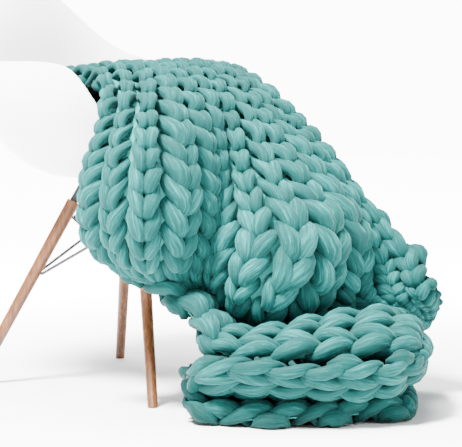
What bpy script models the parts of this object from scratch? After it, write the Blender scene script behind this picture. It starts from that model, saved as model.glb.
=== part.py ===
# Chunky knit blanket folded on the seat of a plain shell chair, falling over its front edge into folds on the floor.
# Metres, +Z up, floor at z = 0, the chair faces -Y, origin below the middle of the bounding box.
import math

import bmesh
import bpy
import numpy as np
from mathutils import Vector

# ---- blanket -----------------------------------------------------------------
CLOTH_THICK = 0.034
FLOOR_THICK = 0.040
THIN_HALF = 0.005
TIGHT_SHARE = 0.42
ROWS_PER_M = 42
ACROSS = 19
SMOOTH_PASSES = 1
# Columns of stitches, counted from the near selvedge, at which each row is given.
RIB_AT = (0, 1, 2, 3, 4.5, 6, 8, 9.3, 11)
# The cloth's middle, a row per fold, from the hem on the seat to the hem on the floor: name, [(x, y, z) per rib].
FOLD_ROWS = [
    ("seat_hem", [(-0.148, 0.090, 0.493), (-0.117, 0.100, 0.479), (-0.081, 0.105, 0.473), (-0.045, 0.110, 0.471), (-0.009, 0.110, 0.471), (0.027, 0.110, 0.470), (0.081, 0.110, 0.470), (0.117, 0.105, 0.476), (0.148, 0.090, 0.494)]),
    ("seat_front", [(-0.166, -0.041, 0.499), (-0.128, -0.041, 0.480), (-0.090, -0.042, 0.474), (-0.054, -0.042, 0.472), (-0.018, -0.041, 0.470), (0.027, -0.041, 0.470), (0.082, -0.041, 0.472), (0.120, -0.042, 0.478), (0.168, -0.043, 0.499)]),
    ("bend_front", [(-0.166, -0.150, 0.525), (-0.129, -0.175, 0.516), (-0.094, -0.184, 0.510), (-0.054, -0.190, 0.505), (-0.018, -0.190, 0.505), (0.027, -0.190, 0.505), (0.080, -0.184, 0.511), (0.125, -0.174, 0.517), (0.166, -0.150, 0.527)]),
    ("second", [(-0.177, -0.038, 0.564), (-0.139, -0.041, 0.552), (-0.102, -0.043, 0.545), (-0.057, -0.042, 0.542), (-0.019, -0.040, 0.543), (0.029, -0.040, 0.541), (0.083, -0.042, 0.545), (0.131, -0.039, 0.552), (0.172, -0.036, 0.562)]),
    ("bend_rear", [(-0.202, 0.091, 0.583), (-0.156, 0.115, 0.581), (-0.110, 0.129, 0.582), (-0.060, 0.135, 0.579), (-0.020, 0.135, 0.579), (0.030, 0.135, 0.579), (0.090, 0.130, 0.582), (0.150, 0.120, 0.579), (0.195, 0.101, 0.579)]),
    ("top_rear", [(-0.212, -0.000, 0.622), (-0.165, 0.020, 0.622), (-0.120, 0.020, 0.622), (-0.070, 0.020, 0.622), (-0.020, 0.020, 0.624), (0.030, 0.020, 0.626), (0.090, 0.020, 0.626), (0.150, 0.020, 0.624), (0.200, 0.020, 0.618)]),
    ("top_front", [(-0.245, -0.117, 0.606), (-0.229, -0.156, 0.618), (-0.178, -0.174, 0.619), (-0.136, -0.181, 0.617), (-0.069, -0.188, 0.622), (-0.005, -0.189, 0.624), (0.069, -0.189, 0.623), (0.118, -0.188, 0.617), (0.168, -0.188, 0.606)]),
    ("crest", [(-0.284, -0.157, 0.550), (-0.280, -0.204, 0.560), (-0.275, -0.245, 0.566), (-0.202, -0.243, 0.563), (-0.093, -0.239, 0.566), (-0.034, -0.251, 0.573), (0.047, -0.260, 0.564), (0.101, -0.266, 0.557), (0.173, -0.262, 0.545)]),
    ("fall_1", [(-0.295, -0.142, 0.474), (-0.317, -0.205, 0.480), (-0.334, -0.291, 0.494), (-0.247, -0.307, 0.477), (-0.106, -0.271, 0.470), (-0.080, -0.324, 0.478), (0.014, -0.349, 0.478), (0.088, -0.348, 0.479), (0.183, -0.342, 0.481)]),
    ("fall_2", [(-0.306, -0.136, 0.408), (-0.338, -0.210, 0.408), (-0.351, -0.302, 0.407), (-0.263, -0.329, 0.398), (-0.118, -0.280, 0.394), (-0.115, -0.377, 0.397), (-0.015, -0.429, 0.398), (0.100, -0.415, 0.397), (0.194, -0.408, 0.402)]),
    ("fall_3", [(-0.308, -0.133, 0.349), (-0.329, -0.198, 0.336), (-0.347, -0.299, 0.328), (-0.262, -0.330, 0.326), (-0.128, -0.284, 0.317), (-0.157, -0.438, 0.327), (-0.008, -0.489, 0.314), (0.162, -0.433, 0.313), (0.211, -0.482, 0.332)]),
    ("fall_4", [(-0.272, -0.148, 0.290), (-0.275, -0.195, 0.283), (-0.306, -0.272, 0.281), (-0.232, -0.297, 0.277), (-0.160, -0.286, 0.264), (-0.179, -0.410, 0.249), (-0.070, -0.489, 0.222), (0.186, -0.431, 0.239), (0.216, -0.556, 0.278)]),
    ("tuck", [(-0.244, -0.234, 0.231), (-0.218, -0.236, 0.238), (-0.178, -0.239, 0.239), (-0.146, -0.260, 0.238), (-0.137, -0.304, 0.225), (-0.160, -0.387, 0.197), (-0.102, -0.460, 0.182), (0.190, -0.452, 0.210), (0.168, -0.608, 0.227)]),
    ("under", [(-0.253, -0.345, 0.192), (-0.213, -0.335, 0.195), (-0.180, -0.312, 0.192), (-0.150, -0.296, 0.181), (-0.114, -0.305, 0.163), (-0.066, -0.335, 0.163), (0.019, -0.403, 0.167), (0.169, -0.475, 0.190), (0.192, -0.607, 0.203)]),
    ("lay1_left", [(-0.302, -0.428, 0.125), (-0.262, -0.415, 0.162), (-0.214, -0.397, 0.145), (-0.173, -0.387, 0.135), (-0.121, -0.389, 0.129), (-0.053, -0.408, 0.132), (0.053, -0.448, 0.143), (0.177, -0.500, 0.179), (0.213, -0.602, 0.188)]),
    ("lay1_mid", [(-0.234, -0.576, 0.118), (-0.188, -0.555, 0.172), (-0.121, -0.520, 0.157), (-0.074, -0.502, 0.148), (-0.031, -0.497, 0.148), (0.033, -0.498, 0.150), (0.110, -0.508, 0.152), (0.195, -0.521, 0.169), (0.229, -0.587, 0.168)]),
    ("lay1_right", [(-0.098, -0.678, 0.124), (-0.048, -0.657, 0.183), (0.008, -0.627, 0.178), (0.053, -0.604, 0.172), (0.088, -0.587, 0.169), (0.132, -0.566, 0.165), (0.173, -0.549, 0.160), (0.215, -0.545, 0.155), (0.246, -0.565, 0.150)]),
    ("curl_right", [(-0.037, -0.727, 0.119), (0.012, -0.701, 0.136), (0.054, -0.674, 0.127), (0.088, -0.651, 0.126), (0.129, -0.624, 0.127), (0.167, -0.595, 0.125), (0.190, -0.570, 0.121), (0.218, -0.550, 0.121), (0.242, -0.537, 0.122)]),
    ("lay2_right", [(-0.113, -0.718, 0.119), (-0.103, -0.717, 0.068), (-0.033, -0.672, 0.084), (0.032, -0.625, 0.086), (0.080, -0.591, 0.083), (0.129, -0.557, 0.086), (0.166, -0.524, 0.088), (0.196, -0.496, 0.090), (0.219, -0.477, 0.090)]),
    ("lay2_mid", [(-0.280, -0.586, 0.118), (-0.283, -0.588, 0.063), (-0.217, -0.542, 0.074), (-0.160, -0.501, 0.080), (-0.102, -0.461, 0.081), (-0.053, -0.427, 0.083), (-0.004, -0.393, 0.086), (0.045, -0.359, 0.086), (0.087, -0.330, 0.086)]),
    ("lay2_left", [(-0.343, -0.452, 0.121), (-0.342, -0.447, 0.069), (-0.276, -0.400, 0.074), (-0.211, -0.349, 0.079), (-0.159, -0.318, 0.081), (-0.105, -0.289, 0.083), (-0.058, -0.269, 0.086), (-0.018, -0.256, 0.086), (0.014, -0.249, 0.086)]),
    ("bend_left", [(-0.322, -0.365, 0.055), (-0.295, -0.344, 0.048), (-0.258, -0.319, 0.052), (-0.216, -0.291, 0.052), (-0.171, -0.267, 0.052), (-0.125, -0.246, 0.053), (-0.084, -0.234, 0.053), (-0.041, -0.224, 0.053), (-0.007, -0.220, 0.053)]),
    ("floor_left", [(-0.332, -0.430, 0.020), (-0.277, -0.391, 0.020), (-0.229, -0.358, 0.020), (-0.186, -0.331, 0.020), (-0.134, -0.301, 0.020), (-0.088, -0.279, 0.020), (-0.049, -0.264, 0.020), (-0.017, -0.258, 0.020), (0.016, -0.251, 0.020)]),
    ("floor_mid", [(-0.271, -0.577, 0.020), (-0.225, -0.546, 0.020), (-0.176, -0.513, 0.020), (-0.135, -0.484, 0.020), (-0.086, -0.450, 0.020), (-0.045, -0.421, 0.020), (0.004, -0.387, 0.020), (0.045, -0.359, 0.020), (0.087, -0.330, 0.020)]),
    ("floor_hem", [(-0.085, -0.705, 0.020), (-0.028, -0.680, 0.020), (0.024, -0.648, 0.020), (0.064, -0.619, 0.020), (0.105, -0.590, 0.020), (0.134, -0.562, 0.020), (0.164, -0.535, 0.020), (0.193, -0.507, 0.020), (0.214, -0.485, 0.020)]),
]

# ---- shell -------------------------------------------------------------------
SHELL_THICK = 0.005
SHELL_ALONG = 40
SHELL_ACROSS = 30
# name, y and z of the middle, x, y and z of the rim, boxiness: 0 an open dish, 1 upright walls.
SHELL_ROWS = [
    ("lip", -0.262, 0.418, 0.195, -0.205, 0.432, 0.00),
    ("lip_in", -0.235, 0.431, 0.225, -0.172, 0.477, 0.20),
    ("front", -0.170, 0.440, 0.256, -0.126, 0.562, 0.60),
    ("arm_front", -0.090, 0.438, 0.282, -0.082, 0.640, 0.95),
    ("arm_1", -0.020, 0.430, 0.292, -0.020, 0.658, 1.00),
    ("arm_2", 0.060, 0.422, 0.292, 0.070, 0.660, 1.00),
    ("arm_3", 0.145, 0.424, 0.284, 0.155, 0.662, 1.00),
    ("heel", 0.210, 0.465, 0.262, 0.222, 0.676, 0.90),
    ("back_1", 0.243, 0.545, 0.225, 0.268, 0.708, 0.70),
    ("back_2", 0.266, 0.640, 0.178, 0.294, 0.752, 0.45),
    ("back_3", 0.284, 0.735, 0.125, 0.306, 0.792, 0.20),
    ("back_top", 0.300, 0.812, 0.070, 0.310, 0.819, 0.00),
]

# ---- base --------------------------------------------------------------------
FOOT_AT = 0.235
SPLAY = 0.39
LEG_TOP_Z = 0.375
LEG_FOOT_R = 0.0100
LEG_TOP_R = 0.0135
CAP_FRONT = 0.0655
CAP_REAR = 0.0490
CAP_R = 0.0085
ROD_R = 0.0030
ROD_LOW_Z = 0.215
ROD_HIGH_Z = 0.355
ROD_LAYER = 0.0045
ROD_TRIM = 0.0100
PIECE_GAP = 0.0004

COLOURS = {
    "blanket": (0.29, 0.60, 0.57),
    "shell": (0.92, 0.92, 0.91),
    "leg": (0.52, 0.29, 0.15),
    "metal": (0.02, 0.02, 0.022),
}


def clear():
    for ob in list(bpy.data.objects):
        bpy.data.objects.remove(ob, do_unlink=True)
    for me in list(bpy.data.meshes):
        bpy.data.meshes.remove(me)


def collection():
    col = bpy.data.collections.new("chunky_knit_blanket")
    bpy.context.scene.collection.children.link(col)
    return col


def material(name, colour, rough, metal=0.0):
    mat = bpy.data.materials.new(name)
    mat.use_nodes = True
    node = mat.node_tree.nodes["Principled BSDF"]
    node.inputs["Base Color"].default_value = (*colour, 1)
    node.inputs["Roughness"].default_value = rough
    node.inputs["Metallic"].default_value = metal
    return mat


def piece(name, verts, faces, mat, col, smooth=True):
    me = bpy.data.meshes.new(name)
    me.from_pydata([tuple(v) for v in verts], [], faces)
    me.materials.append(mat)
    ob = bpy.data.objects.new(name, me)
    col.objects.link(ob)
    bm = bmesh.new()
    bm.from_mesh(me)
    bmesh.ops.triangulate(bm, faces=bm.faces)
    bmesh.ops.recalc_face_normals(bm, faces=bm.faces)
    if bm.calc_volume(signed=True) < 0:
        bmesh.ops.reverse_faces(bm, faces=bm.faces)
    bm.to_mesh(me)
    bm.free()
    for poly in me.polygons:
        poly.use_smooth = smooth
    return ob


def through(at, rows, where):
    """A smooth curve through rows, given at the places at, read at the places where."""
    at, rows, where = np.asarray(at, float), np.asarray(rows, float), np.asarray(where, float)
    wide = (-1,) + (1,) * (rows.ndim - 1)
    gap = np.diff(at)
    slope = (rows[1:] - rows[:-1]) / gap.reshape(wide)
    tangent = np.zeros_like(rows)
    tangent[0], tangent[-1] = slope[0], slope[-1]
    share = (gap[:-1] / (gap[:-1] + gap[1:])).reshape(wide)
    tangent[1:-1] = slope[:-1] * (1 - share) + slope[1:] * share
    i = np.clip(np.searchsorted(at, where, side="right") - 1, 0, len(at) - 2)
    t = ((where - at[i]) / gap[i]).reshape(wide)
    g = gap[i].reshape(wide)
    return (
        (2 * t**3 - 3 * t**2 + 1) * rows[i]
        + (t**3 - 2 * t**2 + t) * g * tangent[i]
        + (3 * t**2 - 2 * t**3) * rows[i + 1]
        + (t**3 - t**2) * g * tangent[i + 1]
    )


def cloth_middle():
    table = np.array([row[1] for row in FOLD_ROWS])
    step = np.linalg.norm(np.diff(table, axis=0), axis=-1).mean(axis=1)
    at = np.concatenate([[0.0], np.cumsum(step)])
    along = through(at, table, np.linspace(0, at[-1], int(at[-1] * ROWS_PER_M)))
    return np.swapaxes(through(RIB_AT, np.swapaxes(along, 0, 1), np.linspace(0, RIB_AT[-1], ACROSS)), 0, 1)


def normals(grid):
    dv = np.gradient(grid, axis=0)
    du = np.gradient(grid, axis=1)
    n = np.cross(du, dv)
    return n / np.maximum(np.linalg.norm(n, axis=-1, keepdims=True), 1e-9)


def evened(field, passes):
    for _ in range(passes):
        f = field.copy()
        f[1:-1] = field[1:-1] * 0.5 + (field[:-2] + field[2:]) * 0.25
        g = f.copy()
        g[:, 1:-1] = f[:, 1:-1] * 0.5 + (f[:, :-2] + f[:, 2:]) * 0.25
        field = g
    return field


def slab(grid, n, half, edge):
    """Closed skin round a grid: two sides at half each way, and a middle line on the border, edge out."""
    rows, cols = grid.shape[:2]
    h = half[..., None]
    top, low = grid + n * h, grid - n * h
    verts = list(top.reshape(-1, 3)) + list(low.reshape(-1, 3))
    t = lambda i, j: i * cols + j
    b = lambda i, j: rows * cols + i * cols + j
    faces = []
    for i in range(rows - 1):
        for j in range(cols - 1):
            faces += [(t(i, j), t(i, j + 1), t(i + 1, j + 1)), (t(i, j), t(i + 1, j + 1), t(i + 1, j))]
            faces += [(b(i, j), b(i + 1, j + 1), b(i, j + 1)), (b(i, j), b(i + 1, j), b(i + 1, j + 1))]
    ring = [(0, j) for j in range(cols)] + [(i, cols - 1) for i in range(1, rows)]
    ring += [(rows - 1, j) for j in range(cols - 2, -1, -1)] + [(i, 0) for i in range(rows - 2, 0, -1)]
    start = len(verts)
    for i, j in ring:
        out = np.zeros(3)
        if i in (0, rows - 1):
            out += grid[i, j] - grid[1 if i == 0 else rows - 2, j]
        if j in (0, cols - 1):
            d = grid[i, j] - grid[i, 1 if j == 0 else cols - 2]
            out += d / max(np.linalg.norm(d), 1e-9) * max(np.linalg.norm(out), 1e-6)
        out /= max(np.linalg.norm(out), 1e-9)
        verts.append(grid[i, j] + out * edge * half[i, j])
    for k, (i, j) in enumerate(ring):
        m = (k + 1) % len(ring)
        p, q = ring[m]
        faces.append((t(i, j), start + k, start + m, t(p, q)))
        faces.append((b(i, j), b(p, q), start + m, start + k))
    return verts, faces


def half_thickness(grid):
    """Half the cloth's thickness, less where a fold is too tight for it."""
    half = np.full(grid.shape[:2], CLOTH_THICK / 2)
    for axis in (0, 1):
        g = np.swapaxes(grid, 0, axis)
        d1 = np.linalg.norm((g[2:] - g[:-2]) / 2, axis=-1)
        d2 = np.linalg.norm(g[2:] - 2 * g[1:-1] + g[:-2], axis=-1)
        tight = np.full(g.shape[:2], 1.0)
        tight[1:-1] = d1**2 / np.maximum(d2, 1e-9)
        half = np.minimum(half, TIGHT_SHARE * np.swapaxes(tight, 0, axis))
    half = np.maximum(half, THIN_HALF)
    return np.minimum(evened(half, 3), half)


def blanket(mat, col):
    grid = evened(cloth_middle(), 3)
    n = evened(normals(grid), SMOOTH_PASSES)
    n /= np.linalg.norm(n, axis=-1, keepdims=True)
    half = half_thickness(grid)
    on_floor = grid[..., 2] < FLOOR_THICK / 2 + 0.0015
    half[on_floor] = FLOOR_THICK / 2
    n[on_floor] = np.where(n[on_floor][:, 2:3] < 0, -1.0, 1.0) * np.array([0, 0, 1.0])
    verts, faces = slab(grid, n, half, 0.75)
    verts = [(x, y, 0.0 if z < 0.004 else z) for x, y, z in verts]
    return piece("blanket", verts, faces, mat, col)


def shell_middle():
    at = range(len(SHELL_ROWS))
    rows = through(at, np.array([row[1:] for row in SHELL_ROWS]), np.linspace(0, len(SHELL_ROWS) - 1, SHELL_ALONG))
    grid = np.zeros((SHELL_ALONG, SHELL_ACROSS + 1, 3))
    for i, (yc, zc, xr, yr, zr, boxy) in enumerate(rows):
        for j in range(SHELL_ACROSS + 1):
            s = 2 * j / SHELL_ACROSS - 1
            a = abs(s) * math.pi / 2
            wide = (1 - boxy) * abs(s) + boxy * math.sin(a) ** 0.75
            rise = (1 - boxy) * abs(s) ** 2.2 + boxy * (1 - math.cos(a))
            grid[i, j] = (math.copysign(xr * wide, s), yc + (yr - yc) * rise, zc + (zr - zc) * rise)
    return grid


def shell(mat, col):
    grid = evened(shell_middle(), 1)
    n = normals(grid)
    verts, faces = slab(grid, n, np.full(grid.shape[:2], SHELL_THICK / 2), 0.6)
    return piece("shell", verts, faces, mat, col)


def rod(name, a, b, ra, rb, mat, col, sides=14, flat_foot=False):
    """A straight tapered rod from a to b. With flat_foot its first end lies flat."""
    a, b = Vector(a), Vector(b)
    d = (b - a).normalized()
    u = d.cross(Vector((0, 0, 1)) if abs(d.z) < 0.9 else Vector((0, 1, 0))).normalized()
    w = d.cross(u)
    verts, faces = [], []
    for end, (c, r) in enumerate(((a, ra), (b, rb))):
        for k in range(sides):
            t = 2 * math.pi * k / sides
            p = c + (u * math.cos(t) + w * math.sin(t)) * r
            if flat_foot and end == 0:
                p -= d * ((p.z - c.z) / d.z)
            verts.append(p)
    for k in range(sides):
        m = (k + 1) % sides
        faces.append((k, m, sides + m, sides + k))
    faces.append(tuple(range(sides))[::-1])
    faces.append(tuple(range(sides, 2 * sides)))
    return piece(name, verts, faces, mat, col, smooth=False)


def leg_axis(sx, sy, z):
    r = FOOT_AT - SPLAY * z
    return Vector((sx * r, sy * r, z))


def base(wood, metal, col):
    corners = [(-1, -1), (1, -1), (1, 1), (-1, 1)]
    for k, (sx, sy) in enumerate(corners):
        foot, top = leg_axis(sx, sy, 0), leg_axis(sx, sy, LEG_TOP_Z)
        rod(f"leg_{k + 1}", foot, top, LEG_FOOT_R, LEG_TOP_R, wood, col, 20, True)
        d = (top - foot).normalized()
        reach = CAP_FRONT if sy < 0 else CAP_REAR
        rod(f"socket_{k + 1}", top + d * PIECE_GAP, top + d * (PIECE_GAP + reach), CAP_R, CAP_R * 0.9, metal, col, 16)
    for k, (here, there) in enumerate(zip(corners, corners[1:] + corners[:1])):
        side = Vector(((here[0] + there[0]) / 2, (here[1] + there[1]) / 2, 0))
        for n, (p, q) in enumerate(((here, there), (there, here))):
            out = side * (ROD_LAYER * (1 if n else -1))
            low, high = leg_axis(*p, ROD_LOW_Z) + out, leg_axis(*q, ROD_HIGH_Z) + out
            d = (high - low).normalized()
            trim = LEG_TOP_R + ROD_TRIM
            rod(f"brace_{k + 1}{'ab'[n]}", low + d * trim, high - d * trim, ROD_R, ROD_R, metal, col, 10)


def centred(col):
    low = np.array([np.inf] * 3)
    high = -low
    for ob in col.objects:
        co = np.array([v.co for v in ob.data.vertices])
        low, high = np.minimum(low, co.min(axis=0)), np.maximum(high, co.max(axis=0))
    move = Vector((-(low[0] + high[0]) / 2, -(low[1] + high[1]) / 2, -low[2]))
    for ob in col.objects:
        for v in ob.data.vertices:
            v.co += move


def main():
    clear()
    col = collection()
    knit = material("blanket", COLOURS["blanket"], 0.85)
    plastic = material("shell", COLOURS["shell"], 0.35)
    wood = material("leg", COLOURS["leg"], 0.5)
    metal = material("metal", COLOURS["metal"], 0.4, 0.6)
    blanket(knit, col)
    shell(plastic, col)
    base(wood, metal, col)
    centred(col)


main()
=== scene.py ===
import math

import bpy
import numpy as np
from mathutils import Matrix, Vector


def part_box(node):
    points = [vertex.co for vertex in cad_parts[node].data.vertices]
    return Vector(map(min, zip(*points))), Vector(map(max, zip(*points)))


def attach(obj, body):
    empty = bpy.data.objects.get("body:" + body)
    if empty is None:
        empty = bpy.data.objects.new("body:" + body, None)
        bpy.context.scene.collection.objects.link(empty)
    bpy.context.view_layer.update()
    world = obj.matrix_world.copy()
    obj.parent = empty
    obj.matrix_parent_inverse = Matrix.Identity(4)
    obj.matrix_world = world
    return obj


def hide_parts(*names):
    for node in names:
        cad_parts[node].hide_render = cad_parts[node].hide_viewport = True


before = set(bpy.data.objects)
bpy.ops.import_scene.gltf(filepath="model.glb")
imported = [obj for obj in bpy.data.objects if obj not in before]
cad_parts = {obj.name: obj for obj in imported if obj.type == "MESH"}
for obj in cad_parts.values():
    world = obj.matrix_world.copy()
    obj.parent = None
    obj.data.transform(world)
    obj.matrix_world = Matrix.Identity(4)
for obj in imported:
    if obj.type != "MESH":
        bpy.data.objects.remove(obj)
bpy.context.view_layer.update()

# ---- the cloth's run, as in the solid, a row per fold: name, [(x, y, z) per rib] ----
# Where each point of a row lies across the cloth, in ribs.
RIB_AT = (0, 1, 2, 3, 4.5, 6, 8, 9.3, 11)
FOLD_ROWS = [
    ("seat_hem", [
        (-0.148, 0.090, 0.493), (-0.117, 0.100, 0.479), (-0.081, 0.105, 0.473),
        (-0.045, 0.110, 0.471), (-0.009, 0.110, 0.471), (0.027, 0.110, 0.470),
        (0.081, 0.110, 0.470), (0.117, 0.105, 0.476), (0.148, 0.090, 0.494),
    ]),
    ("seat_front", [
        (-0.166, -0.041, 0.499), (-0.128, -0.041, 0.480), (-0.090, -0.042, 0.474),
        (-0.054, -0.042, 0.472), (-0.018, -0.041, 0.470), (0.027, -0.041, 0.470),
        (0.082, -0.041, 0.472), (0.120, -0.042, 0.478), (0.168, -0.043, 0.499),
    ]),
    ("bend_front", [
        (-0.166, -0.150, 0.525), (-0.129, -0.175, 0.516), (-0.094, -0.184, 0.510),
        (-0.054, -0.190, 0.505), (-0.018, -0.190, 0.505), (0.027, -0.190, 0.505),
        (0.080, -0.184, 0.511), (0.125, -0.174, 0.517), (0.166, -0.150, 0.527),
    ]),
    ("second", [
        (-0.177, -0.038, 0.564), (-0.139, -0.041, 0.552), (-0.102, -0.043, 0.545),
        (-0.057, -0.042, 0.542), (-0.019, -0.040, 0.543), (0.029, -0.040, 0.541),
        (0.083, -0.042, 0.545), (0.131, -0.039, 0.552), (0.172, -0.036, 0.562),
    ]),
    ("bend_rear", [
        (-0.202, 0.091, 0.583), (-0.156, 0.115, 0.581), (-0.110, 0.129, 0.582),
        (-0.060, 0.135, 0.579), (-0.020, 0.135, 0.579), (0.030, 0.135, 0.579),
        (0.090, 0.130, 0.582), (0.150, 0.120, 0.579), (0.195, 0.101, 0.579),
    ]),
    ("top_rear", [
        (-0.212, -0.000, 0.622), (-0.165, 0.020, 0.622), (-0.120, 0.020, 0.622),
        (-0.070, 0.020, 0.622), (-0.020, 0.020, 0.624), (0.030, 0.020, 0.626),
        (0.090, 0.020, 0.626), (0.150, 0.020, 0.624), (0.200, 0.020, 0.618),
    ]),
    ("top_front", [
        (-0.245, -0.117, 0.606), (-0.229, -0.156, 0.618), (-0.178, -0.174, 0.619),
        (-0.136, -0.181, 0.617), (-0.069, -0.188, 0.622), (-0.005, -0.189, 0.624),
        (0.069, -0.189, 0.623), (0.118, -0.188, 0.617), (0.168, -0.188, 0.606),
    ]),
    ("crest", [
        (-0.284, -0.157, 0.550), (-0.280, -0.204, 0.560), (-0.275, -0.245, 0.566),
        (-0.202, -0.243, 0.563), (-0.093, -0.239, 0.566), (-0.034, -0.251, 0.573),
        (0.047, -0.260, 0.564), (0.101, -0.266, 0.557), (0.173, -0.262, 0.545),
    ]),
    ("fall_1", [
        (-0.295, -0.142, 0.474), (-0.317, -0.205, 0.480), (-0.334, -0.291, 0.494),
        (-0.247, -0.307, 0.477), (-0.106, -0.271, 0.470), (-0.080, -0.324, 0.478),
        (0.014, -0.349, 0.478), (0.088, -0.348, 0.479), (0.183, -0.342, 0.481),
    ]),
    ("fall_2", [
        (-0.306, -0.136, 0.408), (-0.338, -0.210, 0.408), (-0.351, -0.302, 0.407),
        (-0.263, -0.329, 0.398), (-0.118, -0.280, 0.394), (-0.115, -0.377, 0.397),
        (-0.015, -0.429, 0.398), (0.100, -0.415, 0.397), (0.194, -0.408, 0.402),
    ]),
    ("fall_3", [
        (-0.308, -0.133, 0.349), (-0.329, -0.198, 0.336), (-0.347, -0.299, 0.328),
        (-0.262, -0.330, 0.326), (-0.128, -0.284, 0.317), (-0.157, -0.438, 0.327),
        (-0.008, -0.489, 0.314), (0.162, -0.433, 0.313), (0.211, -0.482, 0.332),
    ]),
    ("fall_4", [
        (-0.272, -0.148, 0.290), (-0.275, -0.195, 0.283), (-0.306, -0.272, 0.281),
        (-0.232, -0.297, 0.277), (-0.160, -0.286, 0.264), (-0.179, -0.410, 0.249),
        (-0.070, -0.489, 0.222), (0.186, -0.431, 0.239), (0.216, -0.556, 0.278),
    ]),
    ("tuck", [
        (-0.244, -0.234, 0.231), (-0.218, -0.236, 0.238), (-0.178, -0.239, 0.239),
        (-0.146, -0.260, 0.238), (-0.137, -0.304, 0.225), (-0.160, -0.387, 0.197),
        (-0.102, -0.460, 0.182), (0.190, -0.452, 0.210), (0.168, -0.608, 0.227),
    ]),
    ("under", [
        (-0.253, -0.345, 0.192), (-0.213, -0.335, 0.195), (-0.180, -0.312, 0.192),
        (-0.150, -0.296, 0.181), (-0.114, -0.305, 0.163), (-0.066, -0.335, 0.163),
        (0.019, -0.403, 0.167), (0.169, -0.475, 0.190), (0.192, -0.607, 0.203),
    ]),
    ("lay1_left", [
        (-0.302, -0.428, 0.125), (-0.262, -0.415, 0.162), (-0.214, -0.397, 0.145),
        (-0.173, -0.387, 0.135), (-0.121, -0.389, 0.129), (-0.053, -0.408, 0.132),
        (0.053, -0.448, 0.143), (0.177, -0.500, 0.179), (0.213, -0.602, 0.188),
    ]),
    ("lay1_mid", [
        (-0.234, -0.576, 0.118), (-0.188, -0.555, 0.172), (-0.121, -0.520, 0.157),
        (-0.074, -0.502, 0.148), (-0.031, -0.497, 0.148), (0.033, -0.498, 0.150),
        (0.110, -0.508, 0.152), (0.195, -0.521, 0.169), (0.229, -0.587, 0.168),
    ]),
    ("lay1_right", [
        (-0.098, -0.678, 0.124), (-0.048, -0.657, 0.183), (0.008, -0.627, 0.178),
        (0.053, -0.604, 0.172), (0.088, -0.587, 0.169), (0.132, -0.566, 0.165),
        (0.173, -0.549, 0.160), (0.215, -0.545, 0.155), (0.246, -0.565, 0.150),
    ]),
    ("curl_right", [
        (-0.037, -0.727, 0.119), (0.012, -0.701, 0.136), (0.054, -0.674, 0.127),
        (0.088, -0.651, 0.126), (0.129, -0.624, 0.127), (0.167, -0.595, 0.125),
        (0.190, -0.570, 0.121), (0.218, -0.550, 0.121), (0.242, -0.537, 0.122),
    ]),
    ("lay2_right", [
        (-0.113, -0.718, 0.119), (-0.103, -0.717, 0.068), (-0.033, -0.672, 0.084),
        (0.032, -0.625, 0.086), (0.080, -0.591, 0.083), (0.129, -0.557, 0.086),
        (0.166, -0.524, 0.088), (0.196, -0.496, 0.090), (0.219, -0.477, 0.090),
    ]),
    ("lay2_mid", [
        (-0.280, -0.586, 0.118), (-0.283, -0.588, 0.063), (-0.217, -0.542, 0.074),
        (-0.160, -0.501, 0.080), (-0.102, -0.461, 0.081), (-0.053, -0.427, 0.083),
        (-0.004, -0.393, 0.086), (0.045, -0.359, 0.086), (0.087, -0.330, 0.086),
    ]),
    ("lay2_left", [
        (-0.343, -0.452, 0.121), (-0.342, -0.447, 0.069), (-0.276, -0.400, 0.074),
        (-0.211, -0.349, 0.079), (-0.159, -0.318, 0.081), (-0.105, -0.289, 0.083),
        (-0.058, -0.269, 0.086), (-0.018, -0.256, 0.086), (0.014, -0.249, 0.086),
    ]),
    ("bend_left", [
        (-0.322, -0.365, 0.055), (-0.295, -0.344, 0.048), (-0.258, -0.319, 0.052),
        (-0.216, -0.291, 0.052), (-0.171, -0.267, 0.052), (-0.125, -0.246, 0.053),
        (-0.084, -0.234, 0.053), (-0.041, -0.224, 0.053), (-0.007, -0.220, 0.053),
    ]),
    ("floor_left", [
        (-0.332, -0.430, 0.020), (-0.277, -0.391, 0.020), (-0.229, -0.358, 0.020),
        (-0.186, -0.331, 0.020), (-0.134, -0.301, 0.020), (-0.088, -0.279, 0.020),
        (-0.049, -0.264, 0.020), (-0.017, -0.258, 0.020), (0.016, -0.251, 0.020),
    ]),
    ("floor_mid", [
        (-0.271, -0.577, 0.020), (-0.225, -0.546, 0.020), (-0.176, -0.513, 0.020),
        (-0.135, -0.484, 0.020), (-0.086, -0.450, 0.020), (-0.045, -0.421, 0.020),
        (0.004, -0.387, 0.020), (0.045, -0.359, 0.020), (0.087, -0.330, 0.020),
    ]),
    ("floor_hem", [
        (-0.085, -0.705, 0.020), (-0.028, -0.680, 0.020), (0.024, -0.648, 0.020),
        (0.064, -0.619, 0.020), (0.105, -0.590, 0.020), (0.134, -0.562, 0.020),
        (0.164, -0.535, 0.020), (0.193, -0.507, 0.020), (0.214, -0.485, 0.020),
    ]),
]
COARSE_PER_M = 42    # rows of the coarse grid per metre of cloth
COARSE_ACROSS = 19   # its columns
SMOOTH_PASSES = 3
FINE = 5             # parts that each coarse cell is cut into
FACE_PASSES = 6      # smoothing of the way the cloth faces

# ---- the knit -----------------------------------------------------------------
COLUMNS = 12
# Where each column edge lies across the cloth, in rib units: the outer columns are narrower.
EDGE_AT = [(0, -0.05), (1, 0.84), (2, 1.58), (3, 2.5), (10, 9.5), (11, 10.35), (12, 11.05)]
# Course pitch in metres by fold row, read between rows.
PITCH = {"seat_hem": 0.055, "bend_rear": 0.048, "top_rear": 0.047, "crest": 0.044, "fall_1": 0.045, "fall_2": 0.047,
         "fall_4": 0.048, "tuck": 0.046, "lay1_left": 0.048, "lay1_right": 0.050, "curl_right": 0.050,
         "lay2_right": 0.060, "lay2_left": 0.064, "bend_left": 0.054, "floor_left": 0.060, "floor_hem": 0.060}
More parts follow.
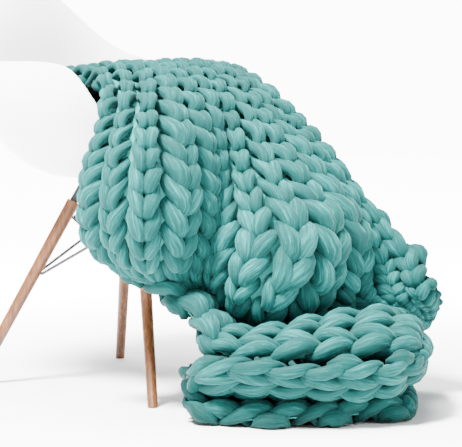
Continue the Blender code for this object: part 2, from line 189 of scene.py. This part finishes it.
# How far loops stand in and out, as a share of DEPTH, and how far columns stand up as ridges in metres.
RELIEF = {"seat_hem": 0.45, "top_rear": 0.50, "crest": 0.55, "fall_1": 0.75, "fall_2": 0.92, "fall_3": 1.0,
          "floor_hem": 1.0}
RIDGES = {"seat_hem": 0.012, "top_rear": 0.024, "crest": 0.030, "fall_1": 0.025, "fall_2": 0.015, "fall_3": 0.010,
          "fall_4": 0.006, "floor_hem": 0.004}
# How far legs draw in to the middle of their column, in column widths.
DRAW_IN = {"seat_hem": 0.050, "top_rear": 0.045, "crest": 0.045, "fall_2": 0.050, "fall_4": 0.048,
           "floor_hem": 0.040}
# Half height of a loop, in pitches, and how far its legs swing sideways, in column widths.
HEADS = {"seat_hem": 1.05, "top_rear": 1.18, "crest": 1.18, "fall_2": 1.05, "fall_4": 0.98, "tuck": 0.92,
         "lay1_left": 0.82, "curl_right": 0.82, "lay2_right": 0.92, "floor_hem": 0.95}
LEANS = {"seat_hem": 0.24, "top_rear": 0.24, "fall_3": 0.25, "tuck": 0.27, "lay1_left": 0.31, "curl_right": 0.30,
         "lay2_right": 0.27, "floor_hem": 0.26}
# How far each column has slipped past its neighbours, in pitches, and the share of that by fold.
COLUMN_SLIP = (0.0, 0.30, -0.18, 0.34, -0.26, 0.20, -0.34, 0.26, -0.14, 0.36, -0.28, 0.12)
SLIP = {"seat_hem": 1.0, "fall_1": 1.0, "fall_3": 0.8, "tuck": 0.4, "lay1_left": 0.2, "floor_hem": 0.1}
# The least size of a loop where the cloth is squeezed, as a share of a full one.
LEAST = {"fall_4": 0.52, "tuck": 0.80, "under": 0.90, "lay1_left": 0.70, "lay1_mid": 0.52}
STEPS = 26           # points along one loop
ROUND = 12           # points round the yarn
DEPTH = 0.0185       # how far legs stand out and heads sink in
FAT = 0.0176         # yarn radius in a leg
THIN = 0.0080        # yarn radius where it is pulled round another loop
WIDE = 0.070         # the column width those sizes are for
LONG = 0.046         # the course pitch those sizes are for
MOST = 1.35          # the most that a wide column swells its yarn
PITCH_LIMITS = (0.6, 1.45)
SELVEDGE_IN = 0.16   # how far in the outer legs stay, in column widths
SELVEDGE_THIN = 0.8  # yarn radius at the selvedge, as a share
SINK = 0.004         # how far the yarn goes in at the selvedges
FIRST_COURSE = 0.03  # where the first course lies along the cloth
LAST_GAP = 0.02      # the cloth left after the last course
PAST_ENDS = 0.01     # how far loops may reach past the cast-on and cast-off edges
PAINTED_TUCK_SHADE = 0.20        # painted shade: how much darker the yarn is where it goes under at the heads, and painted light along the legs
PAINTED_BACK_SHADE = 0.08         # painted shade: how much darker the yarn is on its side towards the cloth's back, and painted light on its face side
TONE_SPREAD = 0.030  # how far stitches differ in tone
COURSES_A_PIECE = 22
TWIST = 9.0          # turns of the fibres about the yarn, in radians a metre
FIBRE_R = 0.016      # radius that the fibre texture is laid round
LIFT = 0.006         # yarn lower than this is pressed towards the floor
PRESSED = 0.0055     # over this height
FLOOR_GAP = 0.0005   # but never nearer than this
SEED = 11

rng = np.random.default_rng(SEED)


def through(at, rows, where):
    """A smooth line through rows standing at the places at, read at the places where."""
    at, rows, where = np.asarray(at, float), np.asarray(rows, float), np.asarray(where, float)
    wide = (-1,) + (1,) * (rows.ndim - 1)
    gap = np.diff(at)
    slope = (rows[1:] - rows[:-1]) / gap.reshape(wide)
    tangent = np.zeros_like(rows)
    tangent[0], tangent[-1] = slope[0], slope[-1]
    share = (gap[:-1] / (gap[:-1] + gap[1:])).reshape(wide)
    tangent[1:-1] = slope[:-1] * (1 - share) + slope[1:] * share
    i = np.clip(np.searchsorted(at, where, side="right") - 1, 0, len(at) - 2)
    t = ((where - at[i]) / gap[i]).reshape(wide)
    g = gap[i].reshape(wide)
    return (
        (2 * t**3 - 3 * t**2 + 1) * rows[i]
        + (t**3 - 2 * t**2 + t) * g * tangent[i]
        + (3 * t**2 - 2 * t**3) * rows[i + 1]
        + (t**3 - t**2) * g * tangent[i + 1]
    )


def evened(field, passes):
    """field smoothed along and then across, its edges kept."""
    for _ in range(passes):
        f = field.copy()
        f[1:-1] = field[1:-1] * 0.5 + (field[:-2] + field[2:]) * 0.25
        g = f.copy()
        g[:, 1:-1] = f[:, 1:-1] * 0.5 + (f[:, :-2] + f[:, 2:]) * 0.25
        field = g
    return field


def chair_place():
    """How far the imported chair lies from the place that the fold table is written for, from its feet."""
    legs = [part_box(f"leg_{k}") for k in (1, 2, 3, 4)]
    low = np.min([np.array(b[0]) for b in legs], axis=0)
    high = np.max([np.array(b[1]) for b in legs], axis=0)
    return np.array([(low[0] + high[0]) / 2, (low[1] + high[1]) / 2, 0.0])


PLACE = chair_place()
TABLE = np.array([row[1] for row in FOLD_ROWS]) + PLACE
NAMES = [row[0] for row in FOLD_ROWS]
STEP_AT = np.linalg.norm(np.diff(TABLE, axis=0), axis=-1).mean(axis=1)
ROW_AT = np.concatenate([[0.0], np.cumsum(STEP_AT)])
LENGTH = ROW_AT[-1]
RIBS = RIB_AT[-1]


def fine_middle():
    """The middle surface of the cloth as a fine grid, along and across."""
    n = int(LENGTH * COARSE_PER_M)
    along = through(ROW_AT, TABLE, np.linspace(0, LENGTH, n))
    across = np.linspace(0, RIBS, COARSE_ACROSS)
    grid = np.swapaxes(through(RIB_AT, np.swapaxes(along, 0, 1), across), 0, 1)
    grid = evened(grid, SMOOTH_PASSES)
    grid = through(range(n), grid, np.linspace(0, n - 1, (n - 1) * FINE + 1))
    m = COARSE_ACROSS
    across = np.linspace(0, m - 1, (m - 1) * FINE + 1)
    return np.swapaxes(through(range(m), np.swapaxes(grid, 0, 1), across), 0, 1)


GRID = fine_middle()
DV = np.gradient(GRID, LENGTH / (GRID.shape[0] - 1), axis=0)
DU = np.gradient(GRID, RIBS / (GRID.shape[1] - 1), axis=1)
# The face side looks out of the fall.
FACE = np.cross(DV, DU)
FACE /= np.linalg.norm(FACE, axis=-1, keepdims=True)
FACE = evened(FACE, FACE_PASSES)
FACE /= np.linalg.norm(FACE, axis=-1, keepdims=True)


def read(field, v, u):
    """field at v metres along and u ribs across, carried straight on past its edges."""
    rows, cols = field.shape[:2]
    a = np.asarray(v) / LENGTH * (rows - 1)
    b = np.asarray(u) / RIBS * (cols - 1)
    i = np.clip(np.floor(a).astype(int), 0, rows - 2)
    j = np.clip(np.floor(b).astype(int), 0, cols - 2)
    s = (a - i)[..., None]
    t = (b - j)[..., None]
    return (field[i, j] * (1 - s) * (1 - t) + field[i + 1, j] * s * (1 - t)
            + field[i, j + 1] * (1 - s) * t + field[i + 1, j + 1] * s * t)


def course_places():
    """Where each course lies along the cloth, from the pitch table."""
    at = [ROW_AT[NAMES.index(k)] for k in PITCH]
    v, out = FIRST_COURSE, []
    while v < LENGTH - LAST_GAP:
        p = float(np.interp(v, at, list(PITCH.values())))
        out.append((v, p))
        v += p
    return out


COURSES = course_places()


def by_row(table, v):
    """A table's value at v metres along, read between its folds."""
    return np.interp(v, [ROW_AT[NAMES.index(k)] for k in table], list(table.values()))


EDGE_C, EDGE_U = zip(*EDGE_AT)


def column_u(c):
    """Column places turned into rib places."""
    return np.interp(c, EDGE_C, EDGE_U)


def loop_line(v, pitch):
    """One course of loops, near edge to far: points, radii, faces, how far each is in a leg, and v and u."""
    n = COLUMNS * STEPS + 1
    t = np.linspace(0, 2 * math.pi * COLUMNS, n)
    k = np.minimum((t / (2 * math.pi)).astype(int), COLUMNS - 1)
    blend = (t / (2 * math.pi)) - k

    def uneven(size):
        a = rng.normal(0, size, COLUMNS + 1)
        return a[k] * (1 - blend) + a[np.minimum(k + 1, COLUMNS)] * blend

    lean = by_row(LEANS, v) * (1 + uneven(0.06))
    head = by_row(HEADS, v) * (1 + uneven(0.04))
    c = t / (2 * math.pi) + lean * np.sin(2 * t)
    c = c + 0.025 * np.sin(t + uneven(1.0) * 2)
    c = c + by_row(DRAW_IN, v) * np.sin(2 * math.pi * c)
    up = -head * np.cos(t) + uneven(0.04)
    # Bunched columns slip past each other.
    slipped = np.interp(t / (2 * math.pi), np.arange(COLUMNS) + 0.5, COLUMN_SLIP)
    up = up + by_row(SLIP, v) * slipped
    # The outer legs lie in at the selvedges.
    c = np.clip(c, SELVEDGE_IN, COLUMNS - SELVEDGE_IN)
    u = column_u(c)
    uu = np.clip(u, 0.0, RIBS)
    ribs = np.abs(column_u(np.minimum(k + 1, COLUMNS)) - column_u(k))
    width = np.linalg.norm(read(DU, np.full(n, v), uu), axis=-1) * ribs
    step = np.linalg.norm(read(DV, np.full(n, v), uu), axis=-1) * pitch
    size = np.clip(width / WIDE, by_row(LEAST, v), MOST) ** 0.95 * np.clip(step / LONG, *PITCH_LIMITS) ** 0.40
    vv = np.clip(v - up * pitch, -PAST_ENDS, LENGTH + PAST_ENDS)
    p = read(GRID, vv, u)
    face = read(FACE, vv, uu)
    face /= np.linalg.norm(face, axis=-1, keepdims=True)
    leg = np.sin(t) ** 2
    relief = by_row(RELIEF, v)
    bump = -np.cos(2 * t) * DEPTH * relief * size * (1 + uneven(0.08))
    ridge = by_row(RIDGES, v) * -np.cos(2 * math.pi * c)
    p = p + face * (bump + ridge)[:, None]
    fat = FAT * (1 + uneven(0.07))
    radius = (THIN + (fat - THIN) * leg ** (0.45 + relief)) * size
    # The yarn thins a little and goes in where it turns at the selvedges.
    end = np.clip(np.minimum(t, t[-1] - t) / (0.42 * math.pi), 0, 1)
    end = end * end * (3 - 2 * end)
    radius = radius * (SELVEDGE_THIN + 0.20 * end)
    p = p - face * (SINK * (1 - end))[:, None]
    return p, radius, face, 0.6 + (leg - 0.6) * relief, vv, u


TURN = 8             # points in a turn
TURN_FAT = 0.0165    # yarn radius in the turn
TURN_REACH = 0.036   # the length of turn that radius is for
SWING = 0.10         # how far the turning yarn swings out past the selvedge, in ribs


def turn(a, b, side):
    """The yarn's way round a selvedge, along the cloth, from the end of one course to the start of the next."""
    (_, ra, _, _, va, ua), (_, rb, _, _, vb, ub) = a, b
    t = np.linspace(0, 1, TURN + 2)[1:-1]
    s = np.sin(math.pi * t)
    v = va + (vb - va) * t
    u = ua + (ub - ua) * t + side * SWING * s
    face = read(FACE, v, np.clip(u, 0, RIBS))
    face /= np.linalg.norm(face, axis=-1, keepdims=True)
    p = read(GRID, v, u) - face * (SINK * s)[:, None]
    reach = np.linalg.norm(np.diff(p, axis=0), axis=-1).sum()
    fat = TURN_FAT * min(1.15, reach / TURN_REACH)
    radius = (ra * (1 - t) + rb * t) * (1 - s) + fat * s
    return p, radius, face, np.full(TURN, 0.6), v, u


def run_of_courses(courses):
    """Courses joined into one length of yarn that turns at each selvedge."""
    parts = []
    for r, (v, pitch) in enumerate(courses):
        line = loop_line(v, pitch)
        if r % 2:
            line = [a[::-1] for a in line]
        if parts:
            parts.append(turn([a[-1] for a in parts[-1]], [a[0] for a in line], 1 if r % 2 else -1))
        parts.append(line)
    p, radius, face, leg = [np.concatenate(a) for a in zip(*parts)][:4]
    for _ in range(2):
        p[1:-1] = p[1:-1] * 0.5 + (p[:-2] + p[2:]) * 0.25
        radius[1:-1] = radius[1:-1] * 0.5 + (radius[:-2] + radius[2:]) * 0.25
    return p, radius, face, leg


HEM_STEPS = 16       # points a column along the cast-off edge
HEM_LAY = 0.105      # the length in which its strands go once round


def hem_lines():
    """The cast-off edge: two strands laid round each other across the last row."""
    n = COLUMNS * HEM_STEPS + 1
    c = np.linspace(0.1, COLUMNS - 0.1, n)
    u = np.clip(column_u(c), 0, RIBS)
    v = np.full(n, LENGTH - 0.004)
    mid = read(GRID, v, u)
    face = read(FACE, v, u)
    face /= np.linalg.norm(face, axis=-1, keepdims=True)
    down = read(DV, v, u)
    down /= np.linalg.norm(down, axis=-1, keepdims=True)
    s = np.concatenate([[0], np.cumsum(np.linalg.norm(np.diff(mid, axis=0), axis=-1))])
    out = []
    for phase in (0.0, math.pi):
        a = 2 * math.pi * s / HEM_LAY + phase
        p = mid + down * (0.012 * np.cos(a))[:, None] + face * (0.011 * np.sin(a))[:, None]
        out.append((p, 0.0125 + 0.0035 * np.abs(np.sin(a)), face, np.full(n, 0.8)))
    return out


def fibres(me, place, tone_and_shade):
    """Gives a mesh its texture places round the yarn, in metres and with no seam, and its tone, which holds random
    stitch tone with painted shade and painted light.
    """
    a = me.attributes.new("yarn", "FLOAT_VECTOR", "POINT")
    a.data.foreach_set("vector", place.astype(np.float32).ravel())
    b = me.attributes.new("tone_and_shade", "FLOAT", "POINT")
    b.data.foreach_set("value", tone_and_shade.astype(np.float32))


def tube(p, radius, face, offset, twist):
    """Rings round a line of points, its faces with closed ends, and the texture places."""
    n = len(p)
    d = np.gradient(p, axis=0)
    d /= np.maximum(np.linalg.norm(d, axis=-1, keepdims=True), 1e-9)
    side = np.cross(d, face)
    side /= np.maximum(np.linalg.norm(side, axis=-1, keepdims=True), 1e-9)
    up = np.cross(side, d)
    s = np.concatenate([[0], np.cumsum(np.linalg.norm(np.diff(p, axis=0), axis=-1))])
    ang = np.linspace(0, 2 * math.pi, ROUND, endpoint=False)
    ca, sa = np.cos(ang), np.sin(ang)
    r = radius[:, None, None]
    ring = side[:, None, :] * ca[None, :, None] * r * 1.04 + up[:, None, :] * sa[None, :, None] * r * 0.98
    verts = (p[:, None, :] + ring).reshape(-1, 3)
    z = verts[:, 2]
    verts[:, 2] = np.where(z < LIFT, FLOOR_GAP + PRESSED * np.exp((z - LIFT) / PRESSED), z)
    i, j = np.meshgrid(np.arange(n - 1), np.arange(ROUND), indexing="ij")
    j2 = (j + 1) % ROUND
    quads = np.stack([i * ROUND + j, i * ROUND + j2, (i + 1) * ROUND + j2, (i + 1) * ROUND + j], axis=-1)
    quads = quads.reshape(-1, 4)
    first = np.arange(ROUND)[::-1]
    last = (n - 1) * ROUND + np.arange(ROUND)
    a = ang[None, :] + twist * s[:, None]
    along = np.broadcast_to(s[:, None] + offset, a.shape)
    tex = np.stack([along, np.cos(a) * FIBRE_R, np.sin(a) * FIBRE_R], axis=-1).reshape(-1, 3)
    return verts, quads, [first, last], tex


def yarn_object(name, tubes, tones_and_shade):
    """One mesh object from several tubes."""
    verts, quads, caps, tex, tone_and_shade, base = [], [], [], [], [], 0
    for (v, q, c, x), t in zip(tubes, tones_and_shade):
        verts.append(v)
        quads.append(q + base)
        caps += [k + base for k in c]
        tex.append(x)
        tone_and_shade.append(t.ravel())
        base += len(v)
    verts = np.concatenate(verts)
    quads = np.concatenate(quads)
    me = bpy.data.meshes.new(name)
    me.vertices.add(len(verts))
    me.vertices.foreach_set("co", verts.astype(np.float32).ravel())
    loops = np.concatenate([quads.ravel()] + [np.asarray(c) for c in caps])
    starts = np.concatenate([np.arange(len(quads)) * 4, len(quads) * 4 + np.arange(len(caps)) * ROUND])
    me.loops.add(len(loops))
    me.loops.foreach_set("vertex_index", loops.astype(np.int32))
    me.polygons.add(len(starts))
    me.polygons.foreach_set("loop_start", starts.astype(np.int32))
    me.update(calc_edges=True)
    me.polygons.foreach_set("use_smooth", np.ones(len(starts), bool))
    ob = bpy.data.objects.new(name, me)
    bpy.context.scene.collection.objects.link(ob)
    fibres(me, np.concatenate(tex), np.concatenate(tone_and_shade))
    return ob


# ---- materials -----------------------------------------------------------------
def nodes_of(name):
    mat = bpy.data.materials.new(name)
    mat.use_nodes = True
    return mat, mat.node_tree.nodes, mat.node_tree.links, mat.node_tree.nodes["Principled BSDF"]


def ramp(nodes, stops):
    r = nodes.new("ShaderNodeValToRGB")
    while len(r.color_ramp.elements) < len(stops):
        r.color_ramp.elements.new(0.5)
    for e, (at, col) in zip(r.color_ramp.elements, stops):
        e.position = at
        e.color = (*col, 1)
    return r


def noise(nodes, links, vec, scale, detail=4.0, rough=0.55):
    n = nodes.new("ShaderNodeTexNoise")
    n.inputs["Scale"].default_value = scale
    n.inputs["Detail"].default_value = detail
    n.inputs["Roughness"].default_value = rough
    links.new(vec, n.inputs["Vector"])
    return n


def wool():
    mat, nodes, links, bsdf = nodes_of("wool roving")
    place = nodes.new("ShaderNodeAttribute")
    place.attribute_name = "yarn"
    # The yarn's tone: random stitch tone with painted shade and painted light.
    tone_and_shade = nodes.new("ShaderNodeAttribute")
    tone_and_shade.attribute_name = "tone_and_shade"
    stretch = nodes.new("ShaderNodeMapping")
    stretch.inputs["Scale"].default_value = (0.10, 1.0, 1.0)
    links.new(place.outputs["Vector"], stretch.inputs["Vector"])
    broad = noise(nodes, links, stretch.outputs["Vector"], 210.0, 3.0)
    fine = noise(nodes, links, stretch.outputs["Vector"], 520.0, 4.0, 0.65)
    mix = nodes.new("ShaderNodeMath")
    mix.operation = "ADD"
    half = nodes.new("ShaderNodeMath")
    half.operation = "MULTIPLY"
    half.inputs[1].default_value = 0.5
    links.new(broad.outputs["Fac"], mix.inputs[0])
    links.new(fine.outputs["Fac"], mix.inputs[1])
    links.new(mix.outputs[0], half.inputs[0])
    # The fibre streaks are shifted by that tone, so the ramp paints shade where the yarn goes under and on its back
    # side, and light along the legs and on the face side.
    shift = nodes.new("ShaderNodeMath")
    shift.operation = "ADD"
    links.new(half.outputs[0], shift.inputs[0])
    links.new(tone_and_shade.outputs["Fac"], shift.inputs[1])
    col = ramp(nodes, [
        (0.18, (0.0003, 0.007, 0.006)),
        (0.42, (0.0004, 0.023, 0.021)),
        (0.64, (0.0010, 0.054, 0.050)),
        (1.00, (0.028, 0.26, 0.25)),
    ])
    links.new(shift.outputs[0], col.inputs["Fac"])
    links.new(col.outputs["Color"], bsdf.inputs["Base Color"])
    bump = nodes.new("ShaderNodeBump")
    bump.inputs["Strength"].default_value = 0.55
    bump.inputs["Distance"].default_value = 0.0022
    links.new(half.outputs[0], bump.inputs["Height"])
    links.new(bump.outputs["Normal"], bsdf.inputs["Normal"])
    bsdf.inputs["Roughness"].default_value = 0.72
    bsdf.inputs["Specular IOR Level"].default_value = 0.12
    bsdf.inputs["Sheen Weight"].default_value = 0.12
    bsdf.inputs["Sheen Roughness"].default_value = 0.45
    bsdf.inputs["Sheen Tint"].default_value = (0.35, 0.85, 0.80, 1)
    return mat


def backing():
    mat, nodes, links, bsdf = nodes_of("inner loops")
    co = nodes.new("ShaderNodeTexCoord")
    n = noise(nodes, links, co.outputs["Object"], 60.0)
    col = ramp(nodes, [(0.3, (0.004, 0.11, 0.10)), (0.7, (0.008, 0.19, 0.17))])
    links.new(n.outputs["Fac"], col.inputs["Fac"])
    links.new(col.outputs["Color"], bsdf.inputs["Base Color"])
    bsdf.inputs["Roughness"].default_value = 0.9
    return mat


def plastic():
    mat, nodes, links, bsdf = nodes_of("white moulded plastic")
    co = nodes.new("ShaderNodeTexCoord")
    n = noise(nodes, links, co.outputs["Object"], 900.0, 2.0)
    bump = nodes.new("ShaderNodeBump")
    bump.inputs["Strength"].default_value = 0.05
    bump.inputs["Distance"].default_value = 0.0004
    links.new(n.outputs["Fac"], bump.inputs["Height"])
    links.new(bump.outputs["Normal"], bsdf.inputs["Normal"])
    m = noise(nodes, links, co.outputs["Object"], 7.0, 2.0)
    col = ramp(nodes, [(0.3, (0.80, 0.80, 0.80)), (0.7, (0.84, 0.84, 0.835))])
    links.new(m.outputs["Fac"], col.inputs["Fac"])
    links.new(col.outputs["Color"], bsdf.inputs["Base Color"])
    bsdf.inputs["Roughness"].default_value = 0.32
    return mat


def wood():
    mat, nodes, links, bsdf = nodes_of("oiled hardwood")
    co = nodes.new("ShaderNodeTexCoord")
    m = nodes.new("ShaderNodeMapping")
    m.inputs["Scale"].default_value = (1.0, 1.0, 0.06)
    links.new(co.outputs["Object"], m.inputs["Vector"])
    n = noise(nodes, links, m.outputs["Vector"], 170.0, 5.0, 0.6)
    col = ramp(nodes, [
        (0.25, (0.050, 0.016, 0.004)),
        (0.50, (0.105, 0.036, 0.010)),
        (0.75, (0.190, 0.076, 0.024)),
    ])
    links.new(n.outputs["Fac"], col.inputs["Fac"])
    links.new(col.outputs["Color"], bsdf.inputs["Base Color"])
    bump = nodes.new("ShaderNodeBump")
    bump.inputs["Strength"].default_value = 0.12
    bump.inputs["Distance"].default_value = 0.0006
    links.new(n.outputs["Fac"], bump.inputs["Height"])
    links.new(bump.outputs["Normal"], bsdf.inputs["Normal"])
    bsdf.inputs["Roughness"].default_value = 0.42
    return mat


def black_steel():
    mat, nodes, links, bsdf = nodes_of("black steel")
    co = nodes.new("ShaderNodeTexCoord")
    n = noise(nodes, links, co.outputs["Object"], 300.0, 2.0)
    col = ramp(nodes, [(0.3, (0.012, 0.012, 0.013)), (0.7, (0.022, 0.022, 0.024))])
    links.new(n.outputs["Fac"], col.inputs["Fac"])
    links.new(col.outputs["Color"], bsdf.inputs["Base Color"])
    bsdf.inputs["Roughness"].default_value = 0.38
    return mat


def dress(ob, mat):
    """Gives an object one material."""
    ob.data.materials.clear()
    ob.data.materials.append(mat)
    for poly in ob.data.polygons:
        poly.material_index = 0


# ---- building --------------------------------------------------------------------
def knit(mat):
    """The courses as a few objects, the cast-off edge with the last."""
    made, part = [], COURSES_A_PIECE
    for k in range(0, len(COURSES), part):
        lines = [run_of_courses(COURSES[k:k + part])]
        if k + part >= len(COURSES):
            lines += hem_lines()
        tubes, tones_and_shade = [], []
        for m, (p, radius, face, leg) in enumerate(lines):
            tubes.append(tube(p, radius, face, 3.7 * (k + m), TWIST))
            stitch = np.arange(len(p)) // (STEPS // 2)
            # Random tone per stitch, with painted shade at the heads where the yarn goes under and painted light
            # along the legs.
            tone_and_shade = rng.normal(0, TONE_SPREAD, stitch[-1] + 1)[stitch] + PAINTED_TUCK_SHADE * (leg - 0.6)
            # Painted shade on the yarn's side towards the cloth's back, painted light on its face side.
            under = np.sin(np.linspace(0, 2 * math.pi, ROUND, endpoint=False))
            tones_and_shade.append(tone_and_shade[:, None] + PAINTED_BACK_SHADE * under[None, :])
        ob = yarn_object(f"knit_{k // part + 1}", tubes, tones_and_shade)
        dress(ob, mat)
        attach(ob, "root")
        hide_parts("blanket")
        made.append(ob)
    return made


WEB_STEP = 4         # grid rows and columns to one of the web
WEB_HALF = 0.0015    # half the web's thickness


def web(mat):
    """The loops' inner side as one thin sheet, so that nothing shows between the loops but more wool."""
    g = GRID[::WEB_STEP, 1:-1:WEB_STEP]
    n = FACE[::WEB_STEP, 1:-1:WEB_STEP]
    rows, cols = g.shape[:2]
    verts = np.concatenate([(g + n * WEB_HALF).reshape(-1, 3), (g - n * WEB_HALF).reshape(-1, 3)])
    faces = []

    def top(i, j):
        return i * cols + j

    def low(i, j):
        return rows * cols + i * cols + j

    for i in range(rows - 1):
        for j in range(cols - 1):
            faces.append((top(i, j), top(i + 1, j), top(i + 1, j + 1), top(i, j + 1)))
            faces.append((low(i, j), low(i, j + 1), low(i + 1, j + 1), low(i + 1, j)))
    ring = [(0, j) for j in range(cols)] + [(i, cols - 1) for i in range(1, rows)]
    ring += [(rows - 1, j) for j in range(cols - 2, -1, -1)] + [(i, 0) for i in range(rows - 2, 0, -1)]
    for k, a in enumerate(ring):
        b = ring[(k + 1) % len(ring)]
        faces.append((top(*a), top(*b), low(*b), low(*a)))
    me = bpy.data.meshes.new("inner_web")
    me.from_pydata([tuple(v) for v in verts], [], faces)
    me.validate()
    ob = bpy.data.objects.new("inner_web", me)
    bpy.context.scene.collection.objects.link(ob)
    for poly in me.polygons:
        poly.use_smooth = True
    dress(ob, mat)
    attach(ob, "root")
    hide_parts("blanket")
    return ob


def chair_looks():
    shell_mat, wood_mat, steel_mat = plastic(), wood(), black_steel()
    for name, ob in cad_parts.items():
        if name == "shell":
            dress(ob, shell_mat)
        elif name.startswith("leg"):
            dress(ob, wood_mat)
        elif name.startswith(("socket", "brace")):
            dress(ob, steel_mat)


FLOOR_HALF = 9.0     # half the floor's side
GLOW_FROM, GLOW_TO = 0.45, 2.1   # metres from the middle in which the floor's painted glow grows
WHITE = 12.0         # strength of the studio's white, and the most that the floor glows


def stage():
    """A pale floor that glows with painted light away from the chair, and a white studio, neither of them part of
    the object.
    """
    me = bpy.data.meshes.new("floor")
    s = FLOOR_HALF
    me.from_pydata([(-s, -s, 0), (s, -s, 0), (s, s, 0), (-s, s, 0)], [], [(0, 1, 2, 3)])
    ob = bpy.data.objects.new("floor", me)
    bpy.context.scene.collection.objects.link(ob)
    mat, nodes, links, bsdf = nodes_of("pale floor")
    bsdf.inputs["Base Color"].default_value = (0.93, 0.93, 0.93, 1)
    bsdf.inputs["Roughness"].default_value = 0.95
    # The floor glows with painted light that grows away from the chair until it meets the studio's white.
    co = nodes.new("ShaderNodeTexCoord")
    far = nodes.new("ShaderNodeVectorMath")
    far.operation = "LENGTH"
    links.new(co.outputs["Object"], far.inputs[0])
    grow = nodes.new("ShaderNodeMapRange")
    grow.interpolation_type = "SMOOTHSTEP"
    grow.inputs["From Min"].default_value = GLOW_FROM
    grow.inputs["From Max"].default_value = GLOW_TO
    grow.inputs["To Min"].default_value = 0.0
    grow.inputs["To Max"].default_value = WHITE
    links.new(far.outputs["Value"], grow.inputs["Value"])
    bsdf.inputs["Emission Color"].default_value = (1, 1, 1, 1)
    links.new(grow.outputs["Result"], bsdf.inputs["Emission Strength"])
    dress(ob, mat)
    world = bpy.data.worlds.new("studio")
    bpy.context.scene.world = world
    world.use_nodes = True
    back = world.node_tree.nodes["Background"]
    back.inputs["Color"].default_value = (1, 1, 1, 1)
    back.inputs["Strength"].default_value = 0.5
    seen = world.node_tree.nodes.new("ShaderNodeBackground")
    seen.inputs["Color"].default_value = (1, 1, 1, 1)
    seen.inputs["Strength"].default_value = WHITE
    path = world.node_tree.nodes.new("ShaderNodeLightPath")
    mix = world.node_tree.nodes.new("ShaderNodeMixShader")
    out = world.node_tree.nodes["World Output"]
    links = world.node_tree.links
    links.new(path.outputs["Is Camera Ray"], mix.inputs["Fac"])
    links.new(back.outputs["Background"], mix.inputs[1])
    links.new(seen.outputs["Background"], mix.inputs[2])
    links.new(mix.outputs["Shader"], out.inputs["Surface"])


def lamp(name, at, to, size, power):
    """A round soft light at a place, turned to another."""
    data = bpy.data.lights.new(name, "AREA")
    data.shape = "DISK"
    data.size = size
    data.energy = power
    ob = bpy.data.objects.new(name, data)
    bpy.context.scene.collection.objects.link(ob)
    ob.location = at
    ob.rotation_euler = (Vector(to) - Vector(at)).to_track_quat("-Z", "Y").to_euler()


def camera():
    """The photo's view."""
    data = bpy.data.cameras.new("camera")
    data.sensor_width = 36
    data.lens = 159.3
    ob = bpy.data.objects.new("camera", data)
    bpy.context.scene.collection.objects.link(ob)
    away = Vector((0.8039, 0.5948, 0.0))
    right = Vector((0.5948, -0.8039, 0.0))
    aside, back, height = 0.199, 4.2067, 0.66
    ob.location = Vector(PLACE) + right * aside - away * back + Vector((0, 0, height))
    dip = math.radians(4.515)
    look = away * math.cos(dip) - Vector((0, 0, math.sin(dip)))
    ob.rotation_euler = look.to_track_quat("-Z", "Y").to_euler()
    bpy.context.scene.camera = ob


knit_mat = wool()
loops = knit(knit_mat)
inner = web(backing())
chair_looks()
stage()
lamp("key", (-1.7, 0.1, 3.4), (0, -0.2, 0.3), 0.9, 1250)
lamp("fill", (0.6, -3.4, 1.8), (0, -0.3, 0.3), 2.2, 80)
lamp("top", (0.3, 0.3, 3.2), (0, -0.1, 0.4), 1.8, 230)
camera()
